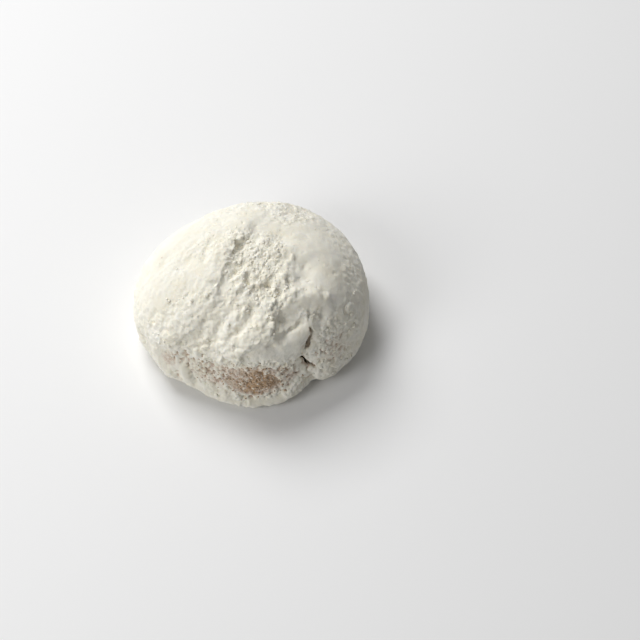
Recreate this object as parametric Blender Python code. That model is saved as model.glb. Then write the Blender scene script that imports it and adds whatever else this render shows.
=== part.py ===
"""A whole kourabies: a domed shortbread biscuit whose rim split into lobes in the oven,
under a thick, crumbly coat of icing sugar.

The biscuit and its coat are two solids. The coat is a shell that thins down the sides,
stops short of the tray and leaves the dough bare along the front.
Lengths are in metres, +Z is up, -Y is the front, and the flat foot stands on z = 0.
"""

import math

import bmesh
import bpy
from mathutils import Matrix, Vector, noise

MM = 0.001

# The dough: a flattened ball, cut off flat where it lay on the tray
GIRTH = 6.5 * MM  # height of the girth, the widest level, over the tray
# How far the girth reaches from the middle, every 15 degrees from +X, in millimetres
OUTLINE = [27.0, 27.2, 27.3, 27.2, 26.7, 26.7, 25.7, 24.5, 24.0, 24.7, 26.1, 26.6]
OUTLINE += [26.5, 26.5, 25.4, 25.5, 23.4, 23.6, 24.8, 24.3, 23.3, 25.3, 26.6, 27.2]
CROWN = 18.0 * MM  # rise from the girth to the top
KEEL = 14.9 * MM  # fall of the whole ball below its girth, which the tray cuts short
FULLNESS = 0.9  # 1 is an ellipse, less has squarer shoulders
BUMP_SPACING, BUMP_HEIGHT = 17 * MM, 0.9 * MM

# The folds between the lobes of the rim, each from the tray upwards, in millimetres
RIGHT_FOLD = [(15.0, -17.6, 0), (14.6, -19.0, 4.5), (13.9, -18.9, 9.5), (12.0, -18.9, 13)]
RIGHT_FOLD += [(12.9, -16.9, 15.8), (14.4, -15.2, 18.2), (14.4, -11.8, 20.5)]
LEFT_FOLD = [(-11.3, -20.3, 0), (-12.2, -20.6, 3.5), (-15.0, -19.8, 5.5), (-15.9, -19.4, 9.6)]
LEFT_FOLD += [(-15.8, -17.7, 14), (-12.8, -16.0, 17.6)]
BACK_FOLD = [(9.0, 22.8, 0), (9.6, 24.4, 5), (8.4, 21.5, 12), (5.5, 16.5, 18)]
FOLD_WIDTH, FOLD_DEPTH = 1.9 * MM, 1.3 * MM

# The two slits where the right fold tore open: middle, the way the slit runs, half sizes
UPPER_SLIT = ((13.2, -17.4, 15.8), (0.44, 0.53, 0.72), (3.0, 0.55, 2.6))
LOWER_SLIT = ((13.1, -19.5, 11.2), (0.52, 0.0, -0.85), (2.1, 0.5, 2.2))

# The coat
GAP = 0.3 * MM  # clearance between the two solids
COAT_SIDE, COAT_TOP, COAT_LEAST = 0.75 * MM, 1.35 * MM, 0.5 * MM
HEM, HEM_SLOPE = 1.5 * MM, 0.9 * MM  # height of the coat's lower edge, and how fast it ends
SUNK = 1.4 * MM  # how far below the dough's skin the coat's cage lies where there is no coat

# The bare front: the way it faces, its half width as a turn, and its level and half height
BARE_TURN, BARE_SPAN = math.radians(-92), math.radians(31)
BARE_LEVEL, BARE_HALF = 9.0 * MM, 4.0 * MM
FOOT_LEVEL, FOOT_HALF, FOOT_SWELL = 2.6 * MM, 1.9 * MM, 0.9 * MM  # the sugar piled below it

# Broken edges of the sugar, seen from above in millimetres, with the deeper sugar on the left
# of the way they run
FRONT_EDGE = [(-3.4, -23.2), (-0.6, -21.6), (4.8, -20.4), (7.9, -19.0), (11.1, -17.9), (15.4, -12.5)]
LEFT_EDGE = [(-6.7, -7.1), (-6.1, -4.8), (-5.0, -0.8), (-3.5, 2.8), (-0.9, 7.6)]
RIGHT_EDGE = [(8.2, -0.6), (11.0, -0.9), (13.6, -0.2), (16.0, -3.5)]
BROKEN_EDGES = [(FRONT_EDGE, 1.25 * MM), (LEFT_EDGE, 1.0 * MM), (RIGHT_EDGE, 0.7 * MM)]
EDGE_FADE, EDGE_REACH = 0.9 * MM, 5.5 * MM

# Short furrows and pits in the sugar: where, from above in millimetres, then half sizes
FURROWS = [(-10.7, -16.0), (-7.4, -17.3), (-4.6, -13.0), (-1.6, -17.1), (0.6, -14.1), (6.0, -15.8)]
FURROW_LONG, FURROW_WIDE, FURROW_DEPTH = 2.4 * MM, 1.1 * MM, 0.7 * MM
FURROW_TURN = math.radians(55)
PITS = [(-10.4, 0.3), (-14.4, -0.4), (-18.6, 2.8), (-8.5, -7.5), (-7.1, 5.2), (6.6, 5.3)]
PITS += [(10.6, 17.6), (2.9, 20.8)]
PIT_REACH, PIT_DEPTH = 1.5 * MM, 0.8 * MM

CRUMB_SPACING, CRUMB_HEIGHT = 3.1 * MM, 1.0 * MM
GRIT_SPACING, GRIT_HEIGHT = 1.9 * MM, 0.45 * MM
ROUGH_MIDDLE, ROUGH_REACH = Vector((4.0, -5.0, 22.0)) * MM, 14 * MM

DOUGH_CUTS, COAT_CUTS = 15, 29  # rows of faces along each side of the ball's cage


def eased(low, high, value):
    """0 at low, 1 at high, and smooth between them."""
    share = min(1.0, max(0.0, (value - low) / (high - low)))
    return share * share * (3 - 2 * share)


def nearest_on_path(point, path):
    """(distance, side) of a point from a line through the path's points, which are in millimetres.
    The side is 1 on the left of the way the path runs, seen from above, and -1 on its right."""
    found = (math.inf, 1)
    for start, end in zip(path, path[1:]):
        start = Vector(start) * MM
        run = Vector(end) * MM - start
        share = min(1.0, max(0.0, (point - start).dot(run) / run.length_squared))
        away = point - start - run * share
        if away.length < found[0]:
            found = (away.length, 1 if run.xy.cross(away.xy) > 0 else -1)
    return found


def fold_depth(point):
    """How deep the folds pull the dough's skin in."""
    depth = 0.0
    for path in (RIGHT_FOLD, LEFT_FOLD, BACK_FOLD):
        across = nearest_on_path(point, path)[0] / FOLD_WIDTH
        fade = 1 - eased(12 * MM, 22 * MM, point.z)
        depth = max(depth, FOLD_DEPTH * fade * math.exp(-across * across))
    return depth


def girth_reach(turn):
    """How far the girth reaches at a turn from +X: a smooth curve through OUTLINE."""
    place = turn / math.tau * len(OUTLINE)
    first = math.floor(place)
    share = place - first
    before, start, end, after = (OUTLINE[(first + i) % len(OUTLINE)] for i in (-1, 0, 1, 2))
    bend = 2 * before - 5 * start + 4 * end - after
    twist = 3 * start - before - 3 * end + after
    return (start + 0.5 * share * (end - before + share * (bend + share * twist))) * MM


def dough_point(way):
    """The dough's skin along a direction from the middle of its girth."""
    reach = girth_reach(math.atan2(way.y, way.x))
    level = math.hypot(way.x, way.y)
    spread = level**FULLNESS / max(level, 1e-9) * reach
    rise = math.copysign(abs(way.z) ** FULLNESS, way.z) * (CROWN if way.z > 0 else KEEL)
    point = Vector((way.x * spread, way.y * spread, GIRTH + rise))
    swell = BUMP_HEIGHT * noise.noise(point / BUMP_SPACING)
    return point + way * (swell - fold_depth(point))


def ball_cage(cuts):
    """A ball of even faces: a cube cut into rows and blown up."""
    cage = bmesh.new()
    bmesh.ops.create_cube(cage, size=2)
    bmesh.ops.subdivide_edges(cage, edges=cage.edges[:], cuts=cuts - 1, use_grid_fill=True)
    for corner in cage.verts:
        corner.co = Vector([math.tan(side * math.pi / 4) for side in corner.co]).normalized()
    return cage


def dough_ball(cuts, lift):
    """The whole ball of dough before the tray flattens it, grown outwards by lift(point, normal)."""
    ball = ball_cage(cuts)
    for corner in ball.verts:
        corner.co = dough_point(corner.co)
    bmesh.ops.recalc_face_normals(ball, faces=ball.faces)
    ball.normal_update()
    grown = [corner.co + corner.normal * lift(corner.co) for corner in ball.verts]
    for corner, place in zip(ball.verts, grown):
        corner.co = place
    return ball


def rough_share(point):
    """1 where the coat is lumpiest, little at its smooth back and sides."""
    return 0.25 + 0.75 * (1 - eased(0.6, 1.2, (point - ROUGH_MIDDLE).length / ROUGH_REACH))


def broken_edges(point):
    """The coat's extra depth behind its broken edges: it falls off sharply in front, slowly behind."""
    depth = 0.0
    for path, height in BROKEN_EDGES:
        away, side = nearest_on_path(point.xy, path)
        behind = math.exp(-((away / EDGE_REACH) ** 2))
        depth = max(depth, height * behind * eased(-EDGE_FADE, EDGE_FADE, away * side))
    return depth


def hollows(point):
    """How deep the furrows and pits are at a point of the coat."""
    depth = 0.0
    for middle in FURROWS:
        across = point.xy - Vector(middle) * MM
        across.rotate(Matrix.Rotation(-FURROW_TURN, 2))
        share = (across.x / FURROW_LONG) ** 2 + (across.y / FURROW_WIDE) ** 2
        depth = max(depth, FURROW_DEPTH * math.exp(-share))
    for middle in PITS:
        share = (point.xy - Vector(middle) * MM).length / PIT_REACH
        depth = max(depth, PIT_DEPTH * math.exp(-share * share))
    return depth


def sugar_depth(point):
    """How deep the sugar lies over a point of the dough, below 0 where the dough is bare."""
    depth = COAT_SIDE + (COAT_TOP - COAT_SIDE) * eased(GIRTH, GIRTH + CROWN, point.z)
    depth += (broken_edges(point) - hollows(point)) * eased(8 * MM, 15 * MM, point.z)
    crumbs = 0.45 - noise.voronoi(point / CRUMB_SPACING)[0][0]
    grit = noise.noise(point / GRIT_SPACING)
    depth += rough_share(point) * (CRUMB_HEIGHT * crumbs + GRIT_HEIGHT * grit)

    turn = (math.atan2(point.y, point.x) - BARE_TURN) / BARE_SPAN
    raggedness = 0.35 * noise.noise(point / CRUMB_SPACING)
    from_middle = math.hypot(turn, (point.z - BARE_LEVEL) / BARE_HALF) + raggedness
    in_front = 1 - eased(0.8, 1.3, abs(turn))
    depth += FOOT_SWELL * in_front * (1 - eased(0.4, 1, abs(point.z - FOOT_LEVEL) / FOOT_HALF))
    cover = eased(0.85, 1.15, from_middle) * eased(HEM - HEM_SLOPE, HEM + HEM_SLOPE, point.z)
    return max(depth, COAT_LEAST) * cover - SUNK * (1 - cover)


def slit_cutter(name, slit, collection):
    """A thin lens that opens a slit: its middle in millimetres, the way it runs, its half sizes."""
    middle, run, (long, wide, deep) = slit
    run = Vector(run).normalized()
    out = (Vector(middle) - Vector((0, 0, GIRTH / MM))).normalized()
    across = out.cross(run).normalized()
    out = run.cross(across)
    bpy.ops.mesh.primitive_uv_sphere_add(segments=14, ring_count=8, radius=1)
    lens = bpy.context.object
    lens.name = name
    turned = Matrix((run, across, out)).transposed().to_4x4()
    sized = Matrix.Diagonal((long * MM, wide * MM, deep * MM, 1))
    lens.data.transform(Matrix.Translation(Vector(middle) * MM) @ turned @ sized)
    return as_cutter(lens, collection)


def as_cutter(thing, collection):
    thing.hide_render = True
    thing.display_type = "WIRE"
    for holder in thing.users_collection:
        holder.objects.unlink(thing)
    collection.objects.link(thing)
    return thing


def mesh_object(name, shape, collection):
    """An object made from a bmesh, smooth but for its sharp edges."""
    mesh = bpy.data.meshes.new(name)
    shape.to_mesh(mesh)
    shape.free()
    mesh.shade_smooth()
    mesh.set_sharp_from_angle(angle=math.radians(50))
    thing = bpy.data.objects.new(name, mesh)
    collection.objects.link(thing)
    return thing


def cut_away(thing, cutter):
    cut = thing.modifiers.new(cutter.name, "BOOLEAN")
    cut.operation = "DIFFERENCE"
    cut.object = cutter


def finish(name, colour, roughness):
    """A matte food surface."""
    material = bpy.data.materials.new(name)
    material.use_nodes = True
    shader = material.node_tree.nodes["Principled BSDF"]
    shader.inputs["Base Color"].default_value = (*colour, 1)
    shader.inputs["Roughness"].default_value = roughness
    shader.inputs["Metallic"].default_value = 0
    return material


def centre(things, coat):
    """Moves all the things together until the coat, the widest of them, is over the origin."""
    corners = [corner.co for corner in coat.data.vertices]
    sides = [[corner[axis] for corner in corners] for axis in (0, 1)]
    shift = Vector([-(min(side) + max(side)) / 2 for side in sides] + [0])
    for thing in things:
        thing.data.transform(Matrix.Translation(shift))


def new_collection(name):
    collection = bpy.data.collections.new(name)
    bpy.context.scene.collection.children.link(collection)
    return collection


def build():
    for thing in list(bpy.data.objects):
        bpy.data.objects.remove(thing)
    parts = new_collection("kourabies")
    cutters = new_collection("cutters")

    dough = dough_ball(DOUGH_CUTS, lambda point: 0)
    whole = dough.verts[:] + dough.edges[:] + dough.faces[:]
    cut = bmesh.ops.bisect_plane(dough, geom=whole, plane_no=(0, 0, 1), clear_inner=True)
    rim = [edge for edge in cut["geom_cut"] if isinstance(edge, bmesh.types.BMEdge)]
    bmesh.ops.contextual_create(dough, geom=rim)
    biscuit = mesh_object("biscuit", dough, parts)
    biscuit.data.materials.append(finish("baked_dough", (0.52, 0.30, 0.13), 0.8))

    sugar = dough_ball(COAT_CUTS, lambda point: GAP + sugar_depth(point))
    coat = mesh_object("sugar_coat", sugar, parts)
    coat.data.materials.append(finish("icing_sugar", (0.93, 0.91, 0.86), 0.95))

    room = mesh_object("room_for_dough", dough_ball(DOUGH_CUTS, lambda point: GAP), parts)
    as_cutter(room, cutters)
    upper_slit = slit_cutter("upper_slit", UPPER_SLIT, cutters)
    lower_slit = slit_cutter("lower_slit", LOWER_SLIT, cutters)
    centre([biscuit, coat, room, upper_slit, lower_slit], coat)

    cut_away(coat, room)
    for slit in (upper_slit, lower_slit):
        cut_away(biscuit, slit)
        cut_away(coat, slit)


build()
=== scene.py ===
"""A kourabies: a domed almond shortbread biscuit that broke into lobes in the oven, under a thick
coat of icing sugar that has cracked, crumbled and come off along the front.

Lengths are in metres unless a name or a comment says millimetres. +Z is up and -Y is the front.
"""

import math

import bmesh
import bpy
import numpy as np
from mathutils import Matrix, Vector, noise
from mathutils.bvhtree import BVHTree


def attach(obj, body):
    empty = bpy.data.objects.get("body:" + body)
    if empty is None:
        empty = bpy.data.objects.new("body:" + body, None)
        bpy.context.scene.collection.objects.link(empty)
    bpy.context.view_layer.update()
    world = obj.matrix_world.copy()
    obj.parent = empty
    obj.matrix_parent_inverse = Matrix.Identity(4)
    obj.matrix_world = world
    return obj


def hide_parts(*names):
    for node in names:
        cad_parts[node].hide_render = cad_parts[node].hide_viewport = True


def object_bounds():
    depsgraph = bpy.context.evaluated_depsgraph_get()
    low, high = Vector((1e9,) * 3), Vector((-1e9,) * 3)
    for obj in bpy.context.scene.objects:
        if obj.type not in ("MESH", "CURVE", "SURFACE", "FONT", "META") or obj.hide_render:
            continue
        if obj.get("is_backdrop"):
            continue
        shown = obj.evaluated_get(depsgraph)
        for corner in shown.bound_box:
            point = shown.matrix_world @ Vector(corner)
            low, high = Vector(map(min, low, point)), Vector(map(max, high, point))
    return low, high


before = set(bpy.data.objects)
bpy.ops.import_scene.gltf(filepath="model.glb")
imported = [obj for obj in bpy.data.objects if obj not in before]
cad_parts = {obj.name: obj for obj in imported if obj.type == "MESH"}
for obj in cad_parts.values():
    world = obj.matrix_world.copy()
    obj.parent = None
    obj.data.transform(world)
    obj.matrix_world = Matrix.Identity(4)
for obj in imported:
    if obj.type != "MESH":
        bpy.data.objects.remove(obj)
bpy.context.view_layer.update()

# ---- The rounded shapes ----------------------------------------------------------------------
# The cook rolls the dough into a ball and flattens it a little, and it slumps as it bakes. So the
# dough and its coat both start as a ball of small, even faces: one drawn in onto the solid biscuit
# and one onto the solid coat, or onto the biscuit where that is bare.

MM = 0.001
ROWS = 100  # rows of faces along each side of a ball before it is made finer
BALL_MIDDLE = (0, 0, 8 * MM)
BALL_RADIUS = 60 * MM
LEAN_UP = 0.3  # how far the faces crowd towards the top
SOFTENING = 60  # rounds of smoothing, which take out the solids' own facets


def choose(thing):
    bpy.ops.object.select_all(action="DESELECT")
    thing.select_set(True)
    bpy.context.view_layer.objects.active = thing


def places_of(thing):
    """Where the vertices of a thing are, as rows of x, y and z."""
    places = np.empty(len(thing.data.vertices) * 3, np.float32)
    thing.data.vertices.foreach_get("co", places)
    return places.reshape(-1, 3).astype(float)


def outward_of(thing):
    """Which way the surface of a thing faces at each vertex."""
    ways = np.empty(len(thing.data.vertices) * 3, np.float32)
    thing.data.vertex_normals.foreach_get("vector", ways)
    return ways.reshape(-1, 3).astype(float)


def move_to(thing, places):
    thing.data.vertices.foreach_set("co", places.astype(np.float32).ravel())
    thing.data.update()


def modify(thing, kind, **settings):
    """Apply a modifier of a kind to a thing."""
    modifier = thing.modifiers.new(kind, kind)
    for name, value in settings.items():
        setattr(modifier, name, value)
    choose(thing)
    bpy.ops.object.modifier_apply(modifier=modifier.name)


def ball_onto(target):
    """A ball of even faces, a little finer on top, drawn in onto a target from all sides."""
    bpy.ops.object.select_all(action="DESELECT")
    bpy.ops.mesh.primitive_cube_add(size=2)
    ball = bpy.context.object
    bpy.ops.object.mode_set(mode="EDIT")
    bpy.ops.mesh.subdivide(number_cuts=ROWS - 1)
    bpy.ops.object.mode_set(mode="OBJECT")
    places = np.tan(places_of(ball) * math.pi / 4)  # the faces then come out even on a ball
    places /= np.linalg.norm(places, axis=1)[:, None]
    places[:, 2] += LEAN_UP
    places /= np.linalg.norm(places, axis=1)[:, None]
    move_to(ball, places * BALL_RADIUS + np.array(BALL_MIDDLE))
    modify(
        ball,
        "SHRINKWRAP",
        target=target,
        wrap_method="PROJECT",
        use_positive_direction=False,
        use_negative_direction=True,
    )
    modify(ball, "SMOOTH", factor=0.5, iterations=SOFTENING)
    modify(ball, "SUBSURF", levels=1)
    return ball


dough_solid, coat_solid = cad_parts["biscuit"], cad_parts["sugar_coat"]
dough = ball_onto(dough_solid)
dough.name = "shortbread"
choose(coat_solid)
dough_solid.select_set(True)
bpy.ops.object.duplicate()
bpy.ops.object.join()
both_solids = bpy.context.object
coat = ball_onto(both_solids)
coat.name = "sugar_crust"
bpy.data.objects.remove(both_solids)

# ---- The baked dough -------------------------------------------------------------------------
# Butter shortbread with ground almonds, baked on a tray: dry, sandy and tan, and browner under its
# flat foot. Its skin is packed crumb. It is bare along the front, where the sugar rubbed off, and
# the right lobe tore away from the rest of it in slits.

SET_BACK = 0.25  # how far the skin lies inside the plain rounded shape, millimetres
FRONT_MIDDLE = math.radians(-91)  # the bare crescent: the way that its middle faces
FRONT_SPAN = math.radians(32)  # how far it runs to each side of that
FRONT_LEVEL, FRONT_RISE = 9.8, 5.2  # its middle over the table and half its height, millimetres
FRONT_CENTRE_Y = -0.8 * MM  # the crescent curves round this line
BAREST, BAREST_REACH = (2, -25, 8.5), 4.6  # where no sugar is left, millimetres
RAGGED = 0.4  # how ragged the crescent's edge is
SLIT_DEPTH = 3.5  # millimetres
# how much crumbs, larger grains and soft swells lift the skin, millimetres
CRUMB_LIFT, GRAIN_LIFT, SWELL_LIFT = 0.3, 0.4, 0.15
MID_GRAIN = 0.6  # the height in packed grains that counts as level: 0 is between them, 1 on top
TORN_SEED = 3  # settles how every torn edge runs, so that it is the same in every run
# the slits: the points that each runs through and half its width, millimetres
SLITS = [
    ([(14.5, -17, 19.5), (14, -17.5, 16.5), (13, -18.5, 14.5)], 0.15),
    ([(12.5, -18.5, 16.5), (12, -19.5, 15.5)], 0.12),
    ([(12, -20, 12.5), (13, -19.5, 10), (15, -20, 8.5)], 0.15),
]

skin, skin_outward = places_of(dough), outward_of(dough)
crust, outward = places_of(coat), outward_of(coat)
level = crust[:, 2] / MM  # over the table, millimetres
coat_faces = BVHTree.FromObject(coat, bpy.context.evaluated_depsgraph_get())


def on_coat(point):
    """The place on the coat's outer face nearest to a point. Both are in millimetres."""
    return np.array(coat_faces.find_nearest(Vector(point) * MM)[0]) / MM


def each(places, size, measure):
    """A noise measured at every place, with features of a size in millimetres."""
    return np.array([measure(place) for place in (places / (size * MM)).tolist()])


def cloud(place):
    """Soft uneven lumps, from about -1 to 1."""
    return noise.fractal(place, 1.0, 2.0, 4)


def packed(place):
    """Rounded grains lying side by side: 1 on top of a grain and 0 between grains."""
    return math.sqrt(max(0.0, 1 - (noise.voronoi(place)[0][0] / 0.8) ** 2))


def eased(low, high, value):
    """0 at low, 1 at high, and smooth between them."""
    share = np.clip((value - low) / (high - low), 0, 1)
    return share * share * (3 - 2 * share)


def near(places, middle, reach):
    """1 at a middle and fading to 0 past a reach around it. Both are in millimetres."""
    away = np.linalg.norm(places / MM - on_coat(middle), axis=1) / reach
    return np.exp(-(away**4))


def along(places, path):
    """How far each place is beside a path, above 0 on the left of the way it runs as seen from
    above, and how far it is past the path's ends. All of it is in millimetres."""
    corners = [on_coat(point) for point in path]
    nearest = np.full(len(places), np.inf)
    beside, past = np.zeros(len(places)), np.zeros(len(places))
    for start, end in zip(corners, corners[1:]):
        run = end - start
        length = np.linalg.norm(run)
        offset = places / MM - start
        share = offset @ run / length**2
        away = np.linalg.norm(offset - np.clip(share, 0, 1)[:, None] * run, axis=1)
        before = np.maximum(-share, 0) * (start is corners[0])
        after = np.maximum(share - 1, 0) * (end is corners[-1])
        over = (before + after) * length
        side = np.where(run[0] * offset[:, 1] > run[1] * offset[:, 0], 1, -1)
        closer = away < nearest
        beside[closer] = (side * np.sqrt(np.maximum(away**2 - over**2, 0)))[closer]
        past[closer] = over[closer]
        nearest = np.minimum(nearest, away)
    return beside, past


def ragged(places, size, reach):
    """Places pushed about along the surface, so that what is looked up there has torn edges."""
    push = each(places, size, noise.noise_vector) * reach
    push -= (push * outward).sum(1)[:, None] * outward
    return places + push * MM


def paint(thing, name, values):
    """Give every vertex a value that the materials can read."""
    attribute = thing.data.attributes.new(name, "FLOAT", "POINT")
    attribute.data.foreach_set("value", values.astype(np.float32))


noise.seed_set(TORN_SEED)
# the coat's places pushed about: torn for ragged edges, and shaken for uneven grains
torn = ragged(ragged(crust, 1.9, 0.5), 0.7, 0.25)
shaken = ragged(crust, 0.9, 0.32)
uneven = each(crust, 2.4, cloud)
grit = each(shaken, 0.95, packed)
crumb = each(skin, 0.6, packed)

# the bare crescent: 1 where the sugar is off
turn = (np.arctan2(crust[:, 1] - FRONT_CENTRE_Y, crust[:, 0]) - FRONT_MIDDLE) / FRONT_SPAN
off_middle = np.hypot(turn, (level - FRONT_LEVEL) / FRONT_RISE) + RAGGED * uneven
crescent = 1 - eased(0.65, 1.3, off_middle)
heart = near(crust, BAREST, BAREST_REACH) ** 0.6
# how far the slits gape: 1 in the middle of a slit
gape = sum(np.exp(-((np.hypot(*along(torn, path)) / half) ** 2)) for path, half in SLITS)
gape = np.sqrt(np.clip(gape, 0, 1))

off_table = eased(0, 0.8, skin[:, 2] / MM)
lift = CRUMB_LIFT * (crumb - MID_GRAIN) + GRAIN_LIFT * (grit - MID_GRAIN) + SWELL_LIFT * uneven
lift = lift - SET_BACK - SLIT_DEPTH * gape
baked = skin + skin_outward * (lift * off_table)[:, None] * MM
baked[:, 2] = np.maximum(baked[:, 2], 0)
move_to(dough, baked)
paint(dough, "dusted", (0.62 - 0.47 * heart) * (1 - gape) * eased(0.1, 1.5, skin[:, 2] / MM))
# painted shade in the slits: 1 where they gape, and the material paints the dough there nearly black
paint(dough, "painted_slit_shade", eased(0.02, 0.15, gape))
modify(dough, "DECIMATE", ratio=0.3)
dough.data.shade_smooth()
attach(dough, "root")
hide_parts("biscuit")


def linear(hex_colour):
    """An sRGB colour such as "c9a26b" as linear red, green, blue and alpha."""
    parts = [int(hex_colour[i : i + 2], 16) / 255 for i in (0, 2, 4)]
    return (*(((c + 0.055) / 1.055) ** 2.4 if c > 0.04045 else c / 12.92 for c in parts), 1)


def add(kind, inputs, **settings):
    """Add a shader node to the tree. Each input, by its name or its number, is a value or the
    output that feeds it."""
    node = tree.nodes.new("ShaderNode" + kind)
    for name, value in settings.items():
        setattr(node, name, value)
    for name, value in inputs.items():
        if isinstance(value, bpy.types.NodeSocket):
            tree.links.new(value, node.inputs[name])
        else:
            node.inputs[name].default_value = value
    return node


def empty_material(name, piece):
    """Put a new material on a piece and clear its shader nodes."""
    material = bpy.data.materials.new(name)
    material.use_nodes = True
    material.node_tree.nodes.clear()
    piece.data.materials.clear()
    piece.data.materials.append(material)
    return material.node_tree


# Baked shortbread: a matt, sandy face of tan and golden grains half a millimetre across. Loose sugar
# makes it paler, the tray made its foot brown, and the slits are painted nearly black as painted
# shade.
tree = empty_material("baked shortbread", dough)
place = add("TexCoord", {}).outputs["Object"]
grains = add("TexVoronoi", {"Vector": place, "Scale": 1 / (0.5 * MM)})
patchy = add("TexNoise", {"Vector": place, "Scale": 1 / (3 * MM), "Detail": 4})
gritty = add("TexNoise", {"Vector": place, "Scale": 1 / (0.4 * MM), "Detail": 3})
grain_shade = add("SeparateColor", {"Color": grains.outputs["Color"]})
tan = add(
    "Mix",
    {0: grain_shade.outputs["Red"], 6: linear("a87c4c"), 7: linear("cfaa7c")},
    data_type="RGBA",
)
golden_share = add("MapRange", {0: patchy.outputs[0], 1: 0.4, 2: 0.65, 3: 0.0, 4: 0.6})
golden = add(
    "Mix",
    {0: golden_share.outputs[0], 6: tan.outputs[2], 7: linear("95683a")},
    data_type="RGBA",
)
height = add("SeparateXYZ", {0: place})
foot_share = add("MapRange", {0: height.outputs[2], 1: 0.2 * MM, 2: 3 * MM, 3: 0.75, 4: 0.0})
browned = add(
    "Mix",
    {0: foot_share.outputs[0], 6: golden.outputs[2], 7: linear("8a5a2c")},
    data_type="RGBA",
)
dusted = add("Attribute", {}, attribute_name="dusted")
dust_sum = add("Math", {0: dusted.outputs["Fac"], 1: gritty.outputs[0]}, operation="ADD")
dust_share = add("MapRange", {0: dust_sum.outputs[0], 1: 0.5, 2: 1.1, 3: 0.05, 4: 0.9})
powdered = add(
    "Mix",
    {0: dust_share.outputs[0], 6: browned.outputs[2], 7: linear("e2d8c8")},
    data_type="RGBA",
)
# painted shade: the dough goes nearly black along the slits, for the shade deep inside them
painted_slit_shade = add("Attribute", {}, attribute_name="painted_slit_shade")
dough_colour = add(
    "Mix",
    {0: painted_slit_shade.outputs["Fac"], 6: powdered.outputs[2], 7: linear("241810")},
    data_type="RGBA",
)
sandy = add("Bump", {"Height": gritty.outputs[0], "Strength": 0.6, "Distance": 0.15 * MM})
shortbread = add(
    "BsdfPrincipled",
    {
        "Base Color": dough_colour.outputs[2],
        "Roughness": 0.9,
        "Diffuse Roughness": 0.6,
        "Specular IOR Level": 0.3,
        "Normal": sandy.outputs[0],
    },
)
add("OutputMaterial", {"Surface": shortbread.outputs[0]})

# ---- The coat of icing sugar -----------------------------------------------------------------
# Icing sugar is sieved on thickly while the biscuit is warm, and sets into a soft crust. It is
# thickest on top, breaks off in ragged edges, takes dents and furrows where it is handled, and has
# rubbed off the front. Places and depths are in millimetres, and each place is moved onto its face.

THINNEST = 0.25  # the least sugar where none has come off
SPREAD = 2.6  # how far from a broken edge the crust still rises or lies low
# where the crust broke: the edge runs with the high side on its left, then how far it drops and how
# wide the broken face is
BROKEN_EDGES = [
    ([(-7.5, -10, 25), (-6.5, -7, 26), (-4.5, -1, 26), (-3.5, 2.5, 26), (1, 5.5, 25.5)], 0.75, 1.2),
    ([(8.5, -8.5, 25), (8.5, -2.5, 25.5)], 0.9, 3.5),
    ([(-3, -24.5, 15), (-1.5, -23.5, 18.5), (1.5, -22, 20.5), (5, -21, 20.5)], 1.0, 1.0),
    ([(5, -21, 20.5), (8, -18.5, 21), (10, -17, 21), (12.5, -14.5, 22.5)], 1.0, 1.0),
    ([(6, -14, 23.5), (8.5, -12.5, 23.5), (11, -11, 24), (14, -10.5, 24), (17, -10, 22)], 2.2, 4.0),
    ([(5, -20.5, 21), (5.5, -17.5, 22), (6.5, -15, 23)], 0.35, 1.2),
    ([(-21, -17.5, 11), (-18.5, -18, 13), (-16.5, -17.5, 16), (-13.5, -17, 18.5)], 0.8, 0.8),
    ([(-16, -19, 13.5), (-12, -19, 16.5)], 0.6, 0.6),
]
# furrows: the points that each runs through, half its width and its depth
FURROWS = [
    ([(-11, -18, 18), (-10, -16, 21)], 0.7, 0.55),
    ([(-8, -19, 18.5), (-6, -17, 21.5)], 0.8, 0.55),
    ([(-3, -19.5, 21), (0, -17.5, 22.5), (0.5, -14, 24)], 1.0, 0.7),
    ([(6, -20, 21), (6, -17, 22)], 0.6, 0.25),
    ([(-15, -18, 15.5), (-14, -17.5, 17.5)], 0.8, 0.35),
    ([(-20.5, -18, 11.5), (-20, -16.5, 14)], 0.35, 0.25),
    ([(-18.4, -19.5, 6.5), (-16.6, -20.5, 4)], 0.4, 0.7),
    ([(-13.6, -21, 10.5), (-13, -22.5, 5)], 0.5, 0.7),
    ([(-7, -22.5, 13), (-6.5, -22.5, 16.5)], 0.35, 0.25),
    ([(-4.5, -23.5, 16), (-3.5, -23.5, 17.5)], 0.4, 0.3),
    ([(1.5, -9, 25), (2, -12, 24.5)], 0.45, 0.35),
    ([(-7.5, -13.5, 23.5), (-5.5, -11.5, 24.5)], 0.4, 0.2),
    ([(-17.5, -11.5, 20.5), (-17, -13.5, 19.5)], 0.35, 0.2),
    ([(15, -20, 7), (15, -20, 4)], 0.35, 0.3),
]
# dents: middle, reach and depth
DENTS = [
    ((-2.5, 2, 26), 1.0, 0.8),
    ((-3, -5, 26), 1.3, 0.7),
    ((-4, -7, 26), 0.9, 0.6),
    ((-1.5, -3.5, 26), 1.3, 0.5),
    ((0, -8, 25.5), 0.6, 0.9),
    ((-2, -11, 25), 0.9, 0.7),
    ((4.5, -9, 25), 1.0, 1.0),
    ((10, -3.5, 25.5), 1.3, 0.4),
    ((12.5, -5, 25), 2.0, 0.3),
    ((-10, 1.5, 25.5), 0.9, 0.7),
    ((-10.5, -1.5, 25.5), 1.1, 0.6),
    ((-8, -8.5, 25.5), 0.6, 0.45),
    ((2.5, 22, 17.5), 0.6, 0.5),
    ((-22, -12, 15.5), 0.5, 0.4),
]
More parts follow.
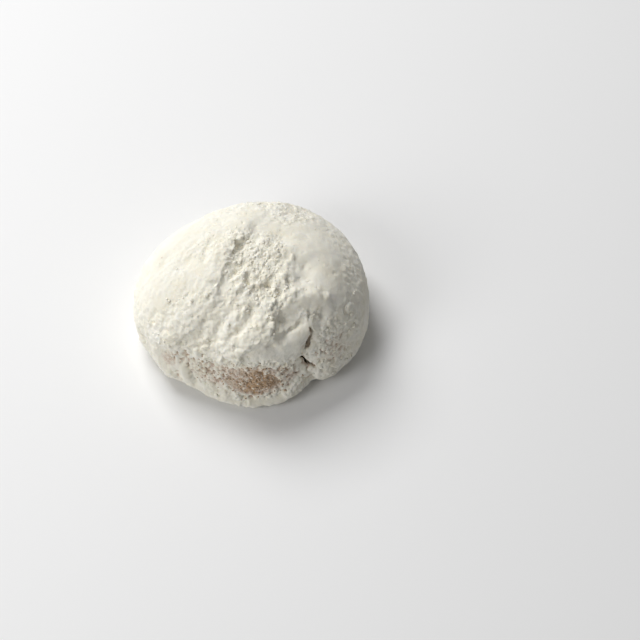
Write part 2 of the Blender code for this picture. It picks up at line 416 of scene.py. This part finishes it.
# lumps that stand out: middle, reach and height
KNOBS = [
    ((-1.5, -6.5, 26), 0.9, 0.7),
    ((-2, -9.5, 25.5), 0.7, 0.6),
    ((3, 3, 26), 0.9, 0.6),
    ((-2.5, 3.5, 26), 0.8, 0.5),
    ((4, -6.5, 25.5), 1.2, 0.6),
    ((2.5, -8.5, 25.5), 0.7, 0.6),
    ((8, -6.5, 25.5), 0.7, 0.5),
    ((6, -10, 25), 0.8, 0.4),
    ((5, -18, 22), 0.7, 0.5),
    ((-12, -20, 15), 0.8, 0.5),
    ((-10, -20, 16.5), 0.8, 0.4),
    ((-0.5, -14.5, 24), 0.8, 0.5),
    ((10, -1, 25.5), 0.7, 0.5),
    ((-15, -21, 7.6), 1.6, 0.45),
    ((-14.8, -21.5, 5.5), 1.6, 0.45),
]
CRUMBLE_REACH = 3.6  # how far each of the places below has its say
CRUMBLED_ELSEWHERE = 0.4  # how crumbled the sugar is far from all of them
# how crumbled the sugar is around some places: 0 is smooth and 1 is all crumbs. These places are
# taken as they stand, and not moved onto the coat's face.
CRUMBLED = [
    # the top
    ((1, 2, 26), 1),
    ((1, -3, 26), 1),
    ((3, -10, 25), 1),
    ((8, -8, 25), 0.9),
    ((1.5, -15, 23.5), 0.8),
    ((12.5, -5, 24.5), 0.05),
    ((14, -13, 23), 0.05),
    ((14, 6, 24), 0.05),
    ((2, 11, 24.5), 0.1),
    ((7, 16, 22), 0.7),
    # the left
    ((-16, 9, 20), 0),
    ((-13, 8, 22), 0.3),
    ((-10, 0.5, 25.5), 0.6),
    ((-12, -3, 25), 0.1),
    ((-16, -2, 22), 0.45),
    ((-21, -6, 19), 0.25),
    ((-21, -13, 15), 0.7),
    ((-24, -10, 10), 0.5),
    # down the front
    ((-9, -13, 23), 0.6),
    ((-15, -13, 20), 0.6),
    ((-5, -20, 20), 0.8),
    ((-11, -20, 15), 0.9),
    ((-5, -23, 15), 0.6),
    ((3, -20, 21), 0.7),
    ((6, -22.5, 17), 0.15),
    ((11, -19, 19), 0.2),
    ((18, -17, 15), 0.8),
    ((20, -17, 10), 0.8),
    ((0, -25, 8), 0.9),
    ((-11.5, -22, 8), 0.9),
    ((-16, -20.5, 6.5), 0),
    ((-20, -18, 10), 0.8),
    # the right and the back
    ((24, 0, 12), 0.4),
    ((20, 10, 16), 0.3),
    ((0, 22, 17), 0.4),
    ((0, 24, 8), 0.4),
]
BRUSHED = math.radians(55)  # the way that the sugar was brushed, from +X
# where it was brushed most: middle and reach
BRUSHED_FRONT, BRUSHED_SLAB = ((-5, -17, 20), 11), ((9, -19, 20), 7)
# how much each kind of unevenness lifts or lowers the sugar
SWELL, POWDER, POCK = 0.12, 0.05, 0.2
LUMP, CRUMB, ROUGHNESS = 0.4, 0.14, 0.32
STREAK, BRUSHED_STREAK = 0.03, 0.07
# the sugar that fell off lies along the foot of the front: its level, half its height, how thick
FOOT_LEVEL, FOOT_HALF, FOOT_HEAP = 1.4, 2.6, 0.7
# a smooth rib of sugar at the left end of the bare crescent, and half its width
RIB, RIB_HALF = [(-15.2, -20.8, 9.5), (-14.8, -21.5, 4.5)], 1.1
# where gaps are rubbed in the sugar round the crescent: its level, half its height and how many
# times the crescent's span
RUBBED_LEVEL, RUBBED_HALF, RUBBED_SPAN = 10.5, 6, 1.3
GAP_DEPTH = 2.6  # how quickly they deepen between the grains
# where most of the sugar came off: in patches low down all round, on the right lobe, in a patch at
# the left and in a pitted band between that and the crescent
SCUFFED_LEVEL, SCUFFED_HALF = 5, 4.5
RIGHT_LOBE, RIGHT_LOBE_REACH = (20, -17, 11), 7
LEFT_PATCH, LEFT_PATCH_REACH = (-19.5, -19, 10), 3.0
PITTED_BAND, PITTED_HALF = [(-16, -19.5, 12), (-12, -21.5, 10.5), (-7, -23.5, 10.5)], 2.2
SLIT_CUT = 12  # deep enough to cut the sugar through at the slits
HEM_TUCK = 0.6  # how far the coat's lower edge is tucked inside the dough's skin
OFF_TABLE = 0.05  # how far the coat stops above the table
INNER_FACE = 0.3  # how far the coat's inner face lies inside the dough's skin
INNER_GRAIN = 0.8  # the width of its faces
TELLING = 0.4  # sugar thinner than this lets the dough show through

weight = np.full(len(crust), 1e-4)
crumbled = CRUMBLED_ELSEWHERE * weight
for middle, share in CRUMBLED:
    away = np.linalg.norm(crust / MM - np.array(middle), axis=1)
    pull = np.exp(-((away / CRUMBLE_REACH) ** 2))
    weight += pull
    crumbled += pull * share
# foot is 1 along the foot of the front, and rib along the rib. Both are less crumbled.
foot = 1 - eased(0.3, 1, np.abs(level - FOOT_LEVEL) / FOOT_HALF)
foot *= 1 - eased(0.8, 1.3, np.abs(turn))
rib = np.exp(-((np.hypot(*along(torn, RIB)) / RIB_HALF) ** 4))
crumbled *= (1 - 0.3 * foot) * (1 - rib) / weight


def speck(place):
    """1 at scattered points and 0 between them."""
    return max(0.0, 1 - noise.voronoi(place)[0][0] / 0.35)


lumps = each(ragged(crust, 1.6, 0.6), 1.8, packed)
rough = each(shaken, 1.2, cloud)
crumbs = each(shaken, 0.7, packed)
fine = each(crust, 0.4, cloud)
pocks = each(torn, 2.6, speck) ** 0.7
brushed_round = np.array(Matrix.Rotation(-BRUSHED, 3, "Z")).T
streaks = each(crust @ brushed_round * (0.3, 1, 1), 1.2, cloud)
streaked = np.maximum(near(crust, *BRUSHED_FRONT), 0.6 * near(crust, *BRUSHED_SLAB))

# full is how thick the sugar was laid on, and change is what has been added to it or taken off
full = ((crust - skin) * outward).sum(1) / MM
change = 0.1 + SWELL * uneven * (0.6 + crumbled) + POWDER * fine * (0.3 + crumbled)
change -= POCK * pocks * (uneven > 0)
for path, drop, face in BROKEN_EDGES:
    # narrow broken faces have torn edges, and wide ones slope down smoothly
    beside, past = along(torn if face < 2 else crust, path)
    high = eased(-face, 0.2, beside)
    rise = high * np.exp(-((np.maximum(beside, 0) / SPREAD) ** 2))
    fall = (1 - high) * np.exp(-((np.maximum(-face - beside, 0) / SPREAD) ** 2))
    broken = drop * (0.9 + 0.6 * uneven) * np.exp(-((past / 1.2) ** 2))
    change += broken * (0.35 * rise - 0.65 * fall)
for path, half, deep in FURROWS:
    change -= deep * np.exp(-((np.hypot(*along(torn, path)) / half) ** 2))
for middle, reach, deep in DENTS:
    change -= deep * near(torn, middle, reach)
for middle, reach, high in KNOBS:
    change += high * near(torn, middle, reach)
crumbly = LUMP * (lumps - MID_GRAIN) + CRUMB * (crumbs - MID_GRAIN) + ROUGHNESS * rough
change += crumbled * crumbly
change += (STREAK + BRUSHED_STREAK * streaked) * streaks
sugar = np.maximum(full + change, THINNEST)

# the sugar lies thicker along the foot, and gaps are rubbed in it above that
sugar += FOOT_HEAP * foot
off_rubbed = np.hypot(turn / RUBBED_SPAN, (level - RUBBED_LEVEL) / RUBBED_HALF)
rubbed = 1 - eased(0.8, 1.3, off_rubbed + 0.25 * uneven)
sugar -= rubbed * crumbled * (1 - 0.5 * foot) * GAP_DEPTH * np.maximum(0.45 - grit, 0)

# each place where most of it came off, and how thick what is left there is
scuffed = eased(0.1, 0.6, each(crust, 8, cloud) + 0.35 * uneven)
scuffed *= 0.95 * (1 - foot) * np.exp(-(((level - SCUFFED_LEVEL) / SCUFFED_HALF) ** 4))
right_lobe = 0.95 * near(crust, RIGHT_LOBE, RIGHT_LOBE_REACH)
left_patch = near(torn, LEFT_PATCH, LEFT_PATCH_REACH) ** 0.5
pitted = 0.85 * np.exp(-((np.hypot(*along(torn, PITTED_BAND)) / PITTED_HALF) ** 4))
for off, left in (
    (scuffed, 0.7 * (grit - 0.5)),
    (crescent, 0.9 * (grit - 0.66 - 0.45 * heart - 0.4 * uneven)),
    (right_lobe, 0.02 + 0.6 * (grit - 0.5) + 0.2 * uneven),
    (left_patch, 0.02 + 0.3 * (grit - 0.5)),
    (pitted, 1.7 * (grit - 0.66) + 0.2 * uneven),
):
    off = off * (1 - rib)
    sugar = sugar * (1 - off) + left * off
sugar -= SLIT_CUT * gape
hem = eased(-0.3, 0.7, level + 0.3 * uneven * (1 - foot))
sugar = sugar * hem - HEM_TUCK * (1 - hem)

sugared = crust + outward * (sugar - full)[:, None] * MM
sugared[:, 2] = np.maximum(sugared[:, 2], OFF_TABLE * MM)
move_to(coat, sugared)
# painted shade in the slits: 1 where they gape, and the icing sugar there is painted nearly black
paint(coat, "painted_slit_shade", eased(0.1, 0.4, gape))
modify(coat, "DECIMATE", ratio=0.35, use_collapse_triangulate=True)

# the coat is a shell: a plain copy of the dough, pulled in a little and drawn down through the
# table, is cut from it, which leaves it open below
choose(dough)
bpy.ops.object.duplicate()
hollow = bpy.context.object
modify(hollow, "REMESH", mode="VOXEL", voxel_size=INNER_GRAIN * MM)
inside = places_of(hollow) - outward_of(hollow) * INNER_FACE * MM
inside[inside[:, 2] < 0.6 * MM, 2] = -5 * MM
move_to(hollow, inside)
modify(coat, "BOOLEAN", object=hollow, operation="DIFFERENCE", solver="MANIFOLD")
bpy.data.objects.remove(hollow)
coat.data.shade_smooth()
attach(coat, "root")
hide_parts("sugar_coat")

# thin is 1 where the sugar is no more than a film on the dough
dough_faces = BVHTree.FromObject(dough, bpy.context.evaluated_depsgraph_get())
depth = []
for spot in places_of(coat):
    under, way = dough_faces.find_nearest(Vector(spot))[:2]
    depth.append((Vector(spot) - under).dot(way) / MM)
paint(coat, "thin", 1 - np.clip(np.array(depth) / TELLING, 0, 1))

# Icing sugar: a warm white powder, dead matt and faintly see-through. Where it is thin, the dough
# below tints it tan, and along the slits it is painted nearly black as painted shade. The powder is
# finer than a tenth of a millimetre, too fine to show, so its grain is drawn 0.35 mm wide.
tree = empty_material("icing sugar", coat)
place = add("TexCoord", {}).outputs["Object"]
creamy = add("TexNoise", {"Vector": place, "Scale": 1 / (4 * MM), "Detail": 5})
powdery = add("TexNoise", {"Vector": place, "Scale": 1 / (0.35 * MM), "Detail": 4})
cream_share = add("MapRange", {0: creamy.outputs[0], 1: 0.35, 2: 0.7, 3: 0.0, 4: 1.0})
white = add(
    "Mix",
    {0: cream_share.outputs[0], 6: linear("f9f6ec"), 7: linear("f5f1e3")},
    data_type="RGBA",
)
thin = add("Attribute", {}, attribute_name="thin")
gaps = add("MapRange", {0: powdery.outputs[0], 1: 0.38, 2: 0.62, 3: 0.35, 4: 1.0})
showing = add("Math", {0: thin.outputs["Fac"], 1: gaps.outputs[0]}, operation="MULTIPLY")
tinted = add(
    "Mix",
    {0: showing.outputs[0], 6: white.outputs[2], 7: linear("c4a48e")},
    data_type="RGBA",
)
# painted shade: the sugar goes nearly black along the slits, for the shade deep inside them
painted_slit_shade = add("Attribute", {}, attribute_name="painted_slit_shade")
sugar_colour = add(
    "Mix",
    {0: painted_slit_shade.outputs["Fac"], 6: tinted.outputs[2], 7: linear("241810")},
    data_type="RGBA",
)
soft_grain = add("Bump", {"Height": powdery.outputs[0], "Strength": 0.4, "Distance": 0.12 * MM})
icing_sugar = add(
    "BsdfPrincipled",
    {
        "Base Color": sugar_colour.outputs[2],
        "Roughness": 1.0,
        "Diffuse Roughness": 1.0,
        "Specular IOR Level": 0.2,
        "Subsurface Weight": 0.25,
        "Subsurface Radius": (1.0, 0.9, 0.75),
        "Subsurface Scale": 0.4 * MM,
        "Normal": soft_grain.outputs[0],
    },
)
add("OutputMaterial", {"Surface": icing_sugar.outputs[0]})

# ---- Broken bits of sugar --------------------------------------------------------------------
# Bits of the crust that broke off and stuck again where it crumbled, mostly on top and along the
# bare front. Each is a rough little lump, about half sunk in the coat.

BIT_COUNT, BIT_SIZES = 420, (0.12, 0.6)

draw = np.random.default_rng(7)
# the face that shows: the sugar's, or the dough's where it stands out from the sugar
uppermost = np.where((sugar > lift)[:, None], sugared, baked)
clear_of_table = level > 1.5
front_crumbs = crescent * (1 - 0.5 * heart)


def strew(name, rounds, count, share, sizes, sunk):
    """Lumps strewn over the biscuit as one piece, thickest where share is high. Their sizes are
    the smallest and largest radius in millimetres, and most of them are small. The more they are
    sunk, the less of them stands out."""
    bpy.ops.object.select_all(action="DESELECT")
    bpy.ops.mesh.primitive_ico_sphere_add(subdivisions=rounds, radius=1)
    lump = bpy.context.object
    if rounds > 1:
        modify(lump, "DECIMATE", ratio=0.5)  # 40 faces are enough
    for vertex in lump.data.vertices:
        vertex.co *= 1 + 0.7 * noise.noise(vertex.co * 1.7)
    heap = bmesh.new()
    chances = share * clear_of_table
    for spot in draw.choice(len(crust), count, p=chances / chances.sum()):
        size = (sizes[0] + (sizes[1] - sizes[0]) * draw.random() ** 3) * MM
        axis = Vector(draw.normal(size=3)).normalized()
        spun = Matrix.Rotation(draw.uniform(0, math.tau), 4, axis)
        laid = Vector(outward[spot]).to_track_quat("Z", "Y").to_matrix().to_4x4()
        middle = Vector(uppermost[spot] + outward[spot] * size * (0.7 - sunk))
        one = lump.data.copy()
        squashed = Matrix.Diagonal((size, size * 0.85, size * 0.65, 1))
        one.transform(Matrix.Translation(middle) @ laid @ squashed @ spun)
        heap.from_mesh(one)
        bpy.data.meshes.remove(one)
    heap.to_mesh(lump.data)
    heap.free()
    lump.name = name
    lump.data.shade_smooth()
    return lump


bit_chances = crumbled**3 * (1 - crescent) + 0.4 * front_crumbs
bits = strew("sugar_bits", 2, BIT_COUNT, bit_chances, BIT_SIZES, 0.55)
bits.data.materials.append(bpy.data.materials["icing sugar"])
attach(bits, "root")
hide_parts("sugar_coat")

# ---- Loose grains of sugar -------------------------------------------------------------------
# Fine lumps of the powder, a tenth to a third of a millimetre across, that stuck to the bare dough
# and lie on the crumbled sugar.

GRAIN_COUNT, GRAIN_SIZES = 2600, (0.05, 0.16)

grain_chances = 0.02 + 0.25 * crumbled**2 * (1 - crescent) + 0.8 * right_lobe + 0.8 * front_crumbs
sugar_grains = strew("sugar_grains", 1, GRAIN_COUNT, grain_chances, GRAIN_SIZES, 0.2)
sugar_grains.data.materials.append(bpy.data.materials["icing sugar"])
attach(sugar_grains, "root")
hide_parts("sugar_coat")

# ---- Crumbs of the dough ---------------------------------------------------------------------
# Crumbs of shortbread and ground almond that came loose with the sugar and cling to the bare
# front. They carry a little of the powder.

CRUMB_COUNT, CRUMB_SIZES = 160, (0.15, 0.4)

crumb_chances = crescent * (0.4 + heart)
dough_crumbs = strew("dough_crumbs", 2, CRUMB_COUNT, crumb_chances, CRUMB_SIZES, 0.3)
dough_crumbs.data.materials.append(bpy.data.materials["baked shortbread"])
paint(dough_crumbs, "dusted", np.full(len(dough_crumbs.data.vertices), 0.35))
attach(dough_crumbs, "root")
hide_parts("biscuit")

# ---- The table -------------------------------------------------------------------------------
# A plain painted table top, pale grey and slightly satin. It isn't part of the biscuit.

bpy.ops.object.select_all(action="DESELECT")
bpy.ops.mesh.primitive_plane_add(size=3)
table = bpy.context.object
table.name = "table_top"
table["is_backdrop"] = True
tree = empty_material("painted table", table)
paint_coat = add("BsdfPrincipled", {"Base Color": linear("efefef"), "Roughness": 0.6})
add("OutputMaterial", {"Surface": paint_coat.outputs[0]})

# ---- Light -----------------------------------------------------------------------------------
# A large window behind and to the left, a weaker one low at the front left, and a little light
# from all round.

LAMP_DISTANCE = 0.85
ROOM_LIGHT = 0.17

scene = bpy.context.scene
scene.view_settings.view_transform = "Standard"
world = bpy.data.worlds.new("studio")
scene.world = world
world.use_nodes = True
tree = world.node_tree
tree.nodes.clear()
room = add("Background", {"Color": (1, 1, 1, 1), "Strength": ROOM_LIGHT})
add("OutputWorld", {"Surface": room.outputs[0]})


def lamp(name, from_back, rise, power, size):
    """A square lamp that faces the biscuit: degrees to the right of straight behind, degrees over
    the table, watts and metres."""
    light = bpy.data.lights.new(name, "AREA")
    light.energy = power
    light.size = size
    stand = bpy.data.objects.new(name, light)
    scene.collection.objects.link(stand)
    across, up = math.radians(from_back), math.radians(rise)
    way = Vector((math.sin(across) * math.cos(up), math.cos(across) * math.cos(up), math.sin(up)))
    stand.location = way * LAMP_DISTANCE
    stand.rotation_euler = way.to_track_quat("Z", "Y").to_euler()


lamp("window", -36, 50, 6.0, 0.5)
lamp("front_fill", -125, 33, 2.5, 0.4)

# ---- Camera ----------------------------------------------------------------------------------
# Straight in front and 53 degrees up, with the biscuit a little left of the middle of the view.

TILT = math.radians(53)
CAMERA_DISTANCE = 0.5
VIEW_WIDTH = 153.6 * MM  # how much of the table the view is across
AIM = Vector((16.2, -0.1, 0.5)) * MM

camera = bpy.data.objects.new("camera", bpy.data.cameras.new("camera"))
scene.collection.objects.link(camera)
towards = Vector((0, -math.cos(TILT), math.sin(TILT)))
camera.location = AIM + towards * CAMERA_DISTANCE
camera.rotation_euler = (math.pi / 2 - TILT, 0, 0)
camera.data.lens = camera.data.sensor_width * CAMERA_DISTANCE / VIEW_WIDTH
camera.data.clip_start = 10 * MM
scene.camera = camera

low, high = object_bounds()
